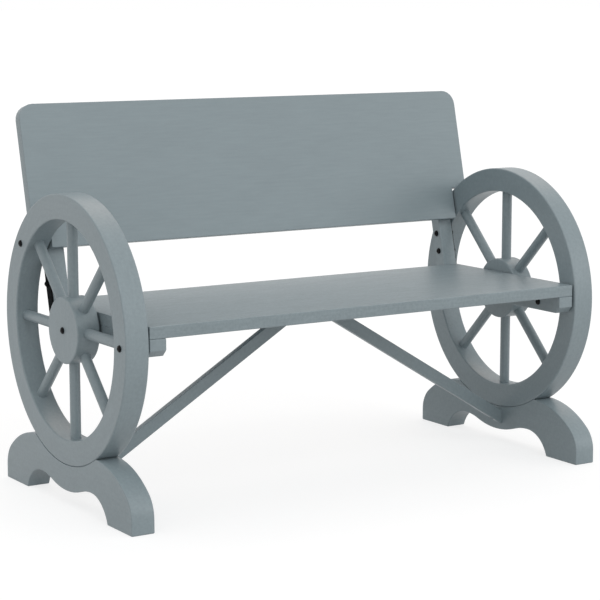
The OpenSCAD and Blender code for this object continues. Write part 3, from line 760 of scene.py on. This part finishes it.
def foot_corners(foot, wheel):
    """Side view of a foot, from the scallop round the arch, sole, toe and shoulder to the saddle.

    Neighbouring arcs touch without a corner: the centres of a scallop or shoulder arc and the arc
    before it are the sum of their radii apart, which gives the unknown radius in closed form.
    """
    saddle = wheel.radius + foot.seat_gap
    horn_y = math.sqrt(saddle ** 2 - (wheel.axle - foot.top) ** 2)
    toe_y = foot.length / 2 - foot.toe_radius
    rise = foot.top - foot.toe
    shoulder = ((toe_y - horn_y) ** 2 + rise ** 2 - foot.toe_radius ** 2) / (2 * (rise - foot.toe_radius))
    shoulder_turn = math.degrees(math.atan2(foot.toe - foot.top + shoulder, toe_y - horn_y))
    sole_y = foot.length / 2 - foot.sole
    outer = ((sole_y - foot.arch_at) ** 2 + foot.arch ** 2) / (2 * foot.arch)
    outer_turn = math.degrees(math.atan2(outer - foot.arch, sole_y - foot.arch_at))
    drop = foot.arch_radius - (foot.arch - foot.scallop)
    scallop = (foot.arch_at ** 2 + drop ** 2 - foot.arch_radius ** 2) / (2 * (foot.arch_radius - drop))
    scallop_turn = math.degrees(math.atan2(foot.arch_at, scallop + drop))
    saddle_turn = math.degrees(math.atan2(foot.top - wheel.axle, horn_y))
    under = np.vstack([
        arc([0, foot.scallop + scallop], scallop, 270, 270 + scallop_turn),
        arc([foot.arch_at, foot.arch - foot.arch_radius], foot.arch_radius, 90 + scallop_turn, 90)[1:],
        arc([foot.arch_at, foot.arch - outer], outer, 90, outer_turn)[1:-1]])
    over = np.vstack([
        arc([toe_y, foot.toe], foot.toe_radius, 0, shoulder_turn),
        arc([horn_y, foot.top - shoulder], shoulder, shoulder_turn, 90)[1:-1]])
    # The eased edge narrows over the last 22 mm before the thin tip, and stays small in the saddle
    fade, at_tip, in_saddle = 22 * MM, 0.2, 0.35
    tip = np.clip(np.hypot(over[:, 0] - horn_y, over[:, 1] - foot.top) / fade, at_tip, 1)
    half = np.vstack([
        outline(under, 0, foot.edge),
        outline([[sole_y, 0], [foot.length / 2, 0]], foot.corner, foot.edge),
        np.column_stack([over, over[:, 0] * 0, foot.edge * tip]),
        outline([[horn_y, foot.top]], 0, foot.edge * at_tip),
        outline(arc([0, wheel.axle], saddle, saddle_turn, -90, 40)[1:], 0, foot.edge * in_saddle)])
    return np.vstack([half, (half * [-1, 1, 1, 1])[-2:0:-1]])


class BENCH_OT_feet(bpy.types.Operator):
    """The scalloped foot under each wheel, with the saddle that the wheel stands in"""
    bl_idname = "bench.feet"
    bl_label = "Feet"

    def execute(self, context):
        foot, wheel, at = context.scene.bench_feet, context.scene.bench_wheels, Places(context.scene)
        grid = placed(eased_board(foot_corners(foot, wheel), at.wheel_in, wheel.outer_x), Y, Z, X)
        # The pockets reach from well below the scallop up to the screws' heads
        below, (heads, _) = 30 * MM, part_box("foot_screws")
        holes = [np.array([[at.wheel_x, y, heads.z - below], [at.wheel_x, y, heads.z + HEAD_ROOM]])
                 for y in (-foot.screw_at, foot.screw_at)]
        timber_pair("scalloped_foot", grid, "foot", Y, Z, (75, 71), holes)
        return {"FINISHED"}


class BENCH_OT_seat(bpy.types.Operator):
    """The seat board, whose back edge follows the slope of the uprights"""
    bl_idname = "bench.seat"
    bl_label = "Seat"

    def execute(self, context):
        board, at = context.scene.bench_boards, Places(context.scene)
        low, top = (at.at_height(at.upright_front, height)[0] - board.rest_gap
                    for height in (at.seat_low, board.seat_top))
        corners = outline([[-board.seat_front, at.seat_low], [low, at.seat_low], [top, board.seat_top],
                           [-board.seat_front, board.seat_top]], board.corner, board.edge)
        grid = placed(eased_board(corners, -at.seat_half, at.seat_half), Y, Z, X)
        timber("seat_plank", grid, "seat_board", X, Y, 84, paint=paint_on_seat)
        return {"FINISHED"}


class BENCH_OT_backrest(bpy.types.Operator):
    """The backrest board, narrow between the wheels and wide above them"""
    bl_idname = "bench.backrest"
    bl_label = "Backrest"

    def execute(self, context):
        board, at = context.scene.bench_boards, Places(context.scene)
        e, wide, narrow = board.edge, board.back_wide / 2, at.seat_half
        half = np.array([[narrow, 0, board.corner, e], [narrow, at.wing_up, 0, e],
                         [wide, at.wing_up, board.wing_corner, e],
                         [wide, at.back_length, board.back_corner, e]])
        corners = np.vstack([half, half[::-1] * [-1, 1, 1, 1]])
        up = tall(at.up)
        grid = placed(eased_board(corners, 0, board.back_thick), X, up, tall(at.into), tall(at.foot))
        timber("backrest_plank", grid, "backrest_board", X, up, 93, paint=paint_on_backrest)
        return {"FINISHED"}


class BENCH_OT_beams(bpy.types.Operator):
    """The beam under each end of the seat, with the slanted cut on its lower front corner"""
    bl_idname = "bench.beams"
    bl_label = "Beams"

    def execute(self, context):
        board, wood, at = context.scene.bench_boards, context.scene.bench_timbers, Places(context.scene)
        rear, cut = at.at_height(at.upright_rear, at.seat_low)[0], wood.beam_cut
        corners = outline([[-board.seat_front, at.seat_low], [-board.seat_front, at.beam_low + cut],
                           [-board.seat_front + cut, at.beam_low], [rear, at.beam_low], [rear, at.seat_low]],
                          wood.corner, wood.edge)
        grid = placed(eased_board(corners, at.beam_x - wood.beam / 2, at.seat_half), Y, Z, X)
        first = wood.seat_screw_in - board.seat_front
        pocket_end = at.beam_low + context.scene.bench_steel.sink + HEAD_ROOM
        holes = [np.array([[at.beam_x, y, at.beam_low - RUN_OUT], [at.beam_x, y, pocket_end]])
                 for y in (first + i * wood.seat_screw_pitch for i in range(SCREWS))]
        timber_pair("seat_beam", grid, "beam", Y, X, (105, 101), holes)
        return {"FINISHED"}


class BENCH_OT_uprights(bpy.types.Operator):
    """The leaning upright behind each end of the backrest, cut level where it stands on the beam"""
    bl_idname = "bench.uprights"
    bl_label = "Uprights"

    def execute(self, context):
        wood, at = context.scene.bench_timbers, Places(context.scene)
        front, rear = at.upright_front, at.upright_rear
        corners = outline([at.at_height(front, at.seat_low), at.at_height(rear, at.seat_low),
                           at.slope(at.upright_length, rear), at.slope(at.upright_length, front)],
                          wood.corner, wood.edge)
        grid = placed(eased_board(corners, at.upright_x - wood.upright_wide / 2, at.seat_half), Y, Z, X)
        pocket_end = rear - context.scene.bench_steel.sink - HEAD_ROOM
        holes = [at.upright_x * X + [tall(at.slope(s, rear + RUN_OUT)), tall(at.slope(s, pocket_end))]
                 for s in np.linspace(wood.back_screw_in, at.upright_length - wood.back_screw_in, SCREWS)]
        timber_pair("leaning_upright", grid, "upright", tall(at.up), X, (115, 111), holes)
        return {"FINISHED"}


class BENCH_OT_braces(bpy.types.Operator):
    """The slats that rise from the feet and meet under the middle of the seat"""
    bl_idname = "bench.braces"
    bl_label = "Braces"

    def execute(self, context):
        wood, at = context.scene.bench_timbers, Places(context.scene)
        e, sink = wood.edge, context.scene.bench_steel.sink
        # The eased edges narrow from 7 mm before each corner that meets another timber
        tight, near = 0.4 * MM, 7 * MM
        foot = np.array([at.wheel_in, wood.brace_foot])
        over = foot + [0, at.brace_over]
        shoulder, top = np.array([wood.brace_top, at.seat_low]), np.array([0.0, at.brace_low(0.0)])
        run = (foot - top) / np.linalg.norm(foot - top)
        corners = np.vstack([
            outline([top], 0, tight), outline([top + run * near, foot - run * near], 0, e),
            outline([foot, over], 0, tight), outline([over - run * near, shoulder + run * near], 0, e),
            outline([shoulder, [0.0, at.seat_low]], 0, tight)])
        grid = placed(eased_board(corners, -wood.brace_front - wood.brace_thick / 2,
                                  -wood.brace_front + wood.brace_thick / 2), X, Z, Y)
        # The lower screw sits 0.4 of the way up the slat's end, and the cutters start clear of the slant
        toe, outside = 0.4 * at.brace_over, 14 * MM
        toe_x, toe_z = at.wheel_in - toe / math.tan(at.brace_angle), wood.brace_foot + toe
        top_x, y = wood.brace_top / 2, -wood.brace_front
        top_z = at.brace_low(top_x)
        holes = [np.array([[top_x, y, top_z - outside], [top_x, y, top_z + sink + HEAD_ROOM]]),
                 np.array([[toe_x - outside, y, toe_z], [toe_x + sink + HEAD_ROOM, y, toe_z]])]
        timber_pair("brace_slat", grid, "brace", np.array([run[0], 0, run[1]]), Y, (125, 121), holes)
        return {"FINISHED"}


def strap_grid(metal, start, end, low, high):
    """Flat strap with round ends: a half circle round each end, joined by straight sides."""
    run, half = end - start, metal.strap / 2
    turn = math.degrees(math.atan2(run[1], run[0]))
    loop = np.vstack([arc(start, half, turn + 90, turn + 270), arc(end, half, turn - 90, turn + 90)])
    return placed(eased_board(outline(loop, 0, metal.strap_edge), low, high, steps=3), Y, Z, X)


class BENCH_OT_straps(bpy.types.Operator):
    """The flat steel straps in the gap between the seat and each wheel"""
    bl_idname = "bench.straps"
    bl_label = "Steel straps"

    def execute(self, context):
        metal, at = context.scene.bench_steel, Places(context.scene)
        runs = {"rear": (at.rear_beam_bolt, at.rear_rim_bolt),
                "front": (np.array([at.front_rim_bolt[0], at.front_beam_bolt[1]]), at.front_beam_bolt)}
        for side, sign in SIDES.items():
            for place, (start, end) in runs.items():
                grid = strap_grid(metal, start, end, at.seat_half, at.wheel_in)
                steel(f"{side}_{place}_flat_strap", [mirrored(grid, sign)], [f"{side}_{place}_strap"])
        return {"FINISHED"}


def domed_bolt(metal, base, axis, reach, threaded):
    """Bolt with a domed head that has a hexagonal socket, and a shank whose end has a thread.

    Beyond the flat ring of radius f round the socket, the dome is a quarter of an ellipse: its
    point at angle t is at height h cos t and radius f + (r - f) sin t.
    """
    r, h, shank, socket = metal.head / 2, metal.dome, metal.bolt / 2, metal.socket / 2
    # The flat ring's radius, the cut round the head's lower edge, and the radius of the thread's end
    flat, lip, tip = 1.3 * socket, 0.25 * MM, 0.72 * shank
    # The socket: a small cap closes the middle of its floor
    floor, cap = h - metal.socket_deep, 0.1 * MM
    key = [[floor, cap], [floor, socket], [h, socket]]
    dome = np.vstack([key, [0, flat] + arc([0, 0], 1.0, 0, 88, 12) * [h, r - flat]])
    rings = 8 * round(threaded / metal.pitch)
    turns = np.linspace(threaded - reach, metal.pitch / 2 - reach, rings)
    profile = np.vstack([dome[:-1], [[lip, r], [0, r - lip], [0, shank]],
                         np.column_stack([turns, turns * 0 + shank]), [[-reach, tip]]])
    return turned(profile, base, axis, 48, (metal.pitch, metal.thread_deep, -reach, 0.0), len(key))


class BENCH_OT_bolts(bpy.types.Operator):
    """The domed bolts through the wheels, the uprights and the beams"""
    bl_idname = "bench.bolts"
    bl_label = "Bolts"

    def execute(self, context):
        scene, at = context.scene, Places(context.scene)
        metal, wheel, wood = scene.bench_steel, scene.bench_wheels, scene.bench_timbers
        gap = at.wheel_in - at.seat_half
        for side, sign in SIDES.items():
            grids = [mirrored(domed_bolt(metal, X * wheel.outer_x + tall(p), X,
                                         wheel.thick + gap + metal.bite, metal.wheel_thread), sign)
                     for p in (at.hub_bolt, at.front_rim_bolt, at.rear_rim_bolt)]
            steel(f"{side}_wheel_bolt_set", grids, [f"{side}_wheel_bolts"])
        sets = {"upright_bolt_set": ("upright_bolts", at.upright_bolts, wood.upright_wide),
                "beam_bolt_set": ("beam_bolts", [at.front_beam_bolt, at.rear_beam_bolt], wood.beam)}
        for name, (solid, places, wide) in sets.items():
            reach = wide + gap + metal.nut_thick + metal.tail
            grids = [mirrored(domed_bolt(metal, X * (at.seat_half - wide) + tall(p), -X, reach,
                                         metal.strap_thread), sign)
                     for sign in SIDES.values() for p in places]
            steel(name, grids, [solid])
        return {"FINISHED"}


def nut_grid(metal, base, around=48):
    """Hexagonal nut: its radius is half its width over cos(a), a being the angle from the nearest flat.

    But it is no more than a cone that starts at each face 0.95 of the way out and opens by 60
    degrees, and so meets the corners 0.205 half widths over tan 60 from the face.
    """
    t, half = metal.nut_thick, metal.nut / 2
    slope = math.tan(math.radians(60))
    # The rings of the cone end just past the corners
    end = 0.224 * half / slope
    rise = np.concatenate([np.linspace(0, end, 6), np.linspace(t - end, t, 6)])[:, None]
    a = np.arange(around) * 2 * np.pi / around
    flat = half / np.cos(a % (np.pi / 3) - np.pi / 6)
    cone = 0.95 * half + np.minimum(rise, t - rise) * slope
    # The hole lies just inside the bottom of the bolt's thread
    hole = np.full((1, around), metal.bolt / 2 - metal.thread_deep - 0.02 * MM)
    radius = np.vstack([hole, np.minimum(flat, cone), hole])
    rise = np.vstack([[[0.0]], rise, [[t]]])
    ring = np.cos(a)[:, None] * Z + np.sin(a)[:, None] * Y
    return base + rise[..., None] * X + radius[..., None] * ring


class BENCH_OT_nuts(bpy.types.Operator):
    """The hexagonal nuts on the straps"""
    bl_idname = "bench.nuts"
    bl_label = "Nuts"

    def execute(self, context):
        metal, at = context.scene.bench_steel, Places(context.scene)
        places = [*at.upright_bolts, at.front_beam_bolt, at.rear_beam_bolt]
        grids = [mirrored(nut_grid(metal, X * at.wheel_in + tall(p)), sign)
                 for sign in SIDES.values() for p in places]
        steel("strap_nut_set", grids, ["strap_nuts"], wraps=True)
        return {"FINISHED"}


class BENCH_OT_inner_parts(bpy.types.Operator):
    """Finishes of the solids that need no new shape: the screws, the spacers and the dowels"""
    bl_idname = "bench.inner_parts"
    bl_label = "Screws, spacers and dowels"

    def execute(self, context):
        finishes = {"rim_dowels": raw_beech(), "hub_spacers": black_coated_steel(),
                    "seat_screws": zinc_plated_steel(), "backrest_screws": zinc_plated_steel(),
                    "brace_screws": zinc_plated_steel(), "foot_screws": zinc_plated_steel()}
        for name, material in finishes.items():
            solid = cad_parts[name]
            solid.data.materials.clear()
            solid.data.materials.append(material)
        return {"FINISHED"}


class BENCH_OT_stage(bpy.types.Operator):
    """White floor and sky, three soft lamps, and the camera"""
    bl_idname = "bench.stage"
    bl_label = "Studio"

    def execute(self, context):
        scene, studio = context.scene, context.scene.bench_studio
        mesh, far = bpy.data.meshes.new("studio_floor"), studio.floor
        mesh.from_pydata([(-far, -far, 0), (far, -far, 0), (far, far, 0), (-far, far, 0)], [], [(0, 1, 2, 3)])
        mesh.materials.append(white_floor())
        floor = bpy.data.objects.new("studio_floor", mesh)
        scene.collection.objects.link(floor)
        self.sky(scene, studio)
        self.soft_lamps(scene, studio)
        lens = bpy.data.cameras.new("camera")
        # The camera sees past the floor's far corners
        lens.lens, lens.sensor_width, lens.clip_end = studio.lens, 36.0, 1000.0
        camera = bpy.data.objects.new("camera", lens)
        camera.location, camera.rotation_euler = studio.camera_at, studio.camera_turn
        scene.collection.objects.link(camera)
        scene.camera = camera
        scene.view_settings.view_transform = "Standard"
        return {"FINISHED"}

    @staticmethod
    def soft_lamps(scene, studio):
        """Far, wide lamps, whose light falls from the place that LAMPS gives."""
        for name, (turn, height, tint) in LAMPS.items():
            lamp = bpy.data.lights.new(f"{name}_lamp", "SUN")
            lamp.energy, lamp.angle, lamp.color = getattr(studio, name), LAMP_WIDTH, tint
            light = bpy.data.objects.new(f"{name}_lamp", lamp)
            light.rotation_euler = (math.radians(90 - height), 0.0, math.radians(turn))
            scene.collection.objects.link(light)

    @staticmethod
    def sky(scene, studio):
        """Even light from all round, and pure white behind everything."""
        world = bpy.data.worlds.new("studio_sky")
        scene.world = world
        world.use_nodes = True
        tree = world.node_tree
        tree.nodes.clear()
        light = node(tree, "ShaderNodeBackground", {"Color": (1, 1, 1, 1), "Strength": studio.sky})
        white = node(tree, "ShaderNodeBackground", {"Color": (1, 1, 1, 1), "Strength": 1.0})
        mix = node(tree, "ShaderNodeMixShader", {0: seen(tree), 1: light.outputs[0], 2: white.outputs[0]})
        node(tree, "ShaderNodeOutputWorld", {"Surface": mix.outputs[0]})


STEPS = (BENCH_OT_rims, BENCH_OT_spokes, BENCH_OT_hubs, BENCH_OT_feet, BENCH_OT_seat, BENCH_OT_backrest,
         BENCH_OT_beams, BENCH_OT_uprights, BENCH_OT_braces, BENCH_OT_straps, BENCH_OT_bolts, BENCH_OT_nuts,
         BENCH_OT_inner_parts, BENCH_OT_stage)

GROUPS = {"bench_wheels": WheelSizes, "bench_feet": FootSizes, "bench_boards": BoardSizes,
          "bench_timbers": TimberSizes, "bench_steel": SteelSizes, "bench_colours": BenchColours,
          "bench_studio": StudioSettings}


class BENCH_PT_panel(bpy.types.Panel):
    """Sizes, colours and steps of the bench"""
    bl_idname = "BENCH_PT_panel"
    bl_label = "Wagon Wheel Bench"
    bl_space_type = "VIEW_3D"
    bl_region_type = "UI"
    bl_category = "Bench"

    def draw(self, context):
        for name, group in GROUPS.items():
            box = self.layout.box()
            box.label(text=name.replace("bench_", "").capitalize())
            for key in group.__annotations__:
                box.prop(getattr(context.scene, name), key)
        for step in STEPS:
            self.layout.operator(step.bl_idname)


def register():
    for group in GROUPS.values():
        bpy.utils.register_class(group)
    for name, group in GROUPS.items():
        setattr(bpy.types.Scene, name, bpy.props.PointerProperty(type=group))
    for step in STEPS:
        bpy.utils.register_class(step)
    bpy.utils.register_class(BENCH_PT_panel)


def unregister():
    bpy.utils.unregister_class(BENCH_PT_panel)
    for step in reversed(STEPS):
        bpy.utils.unregister_class(step)
    for name in GROUPS:
        delattr(bpy.types.Scene, name)
    for group in reversed(list(GROUPS.values())):
        bpy.utils.unregister_class(group)


def main():
    """Builds every piece in order."""
    register()
    for step in STEPS:
        family, name = step.bl_idname.split(".")
        getattr(getattr(bpy.ops, family), name)()


if __name__ == "__main__":
    main()
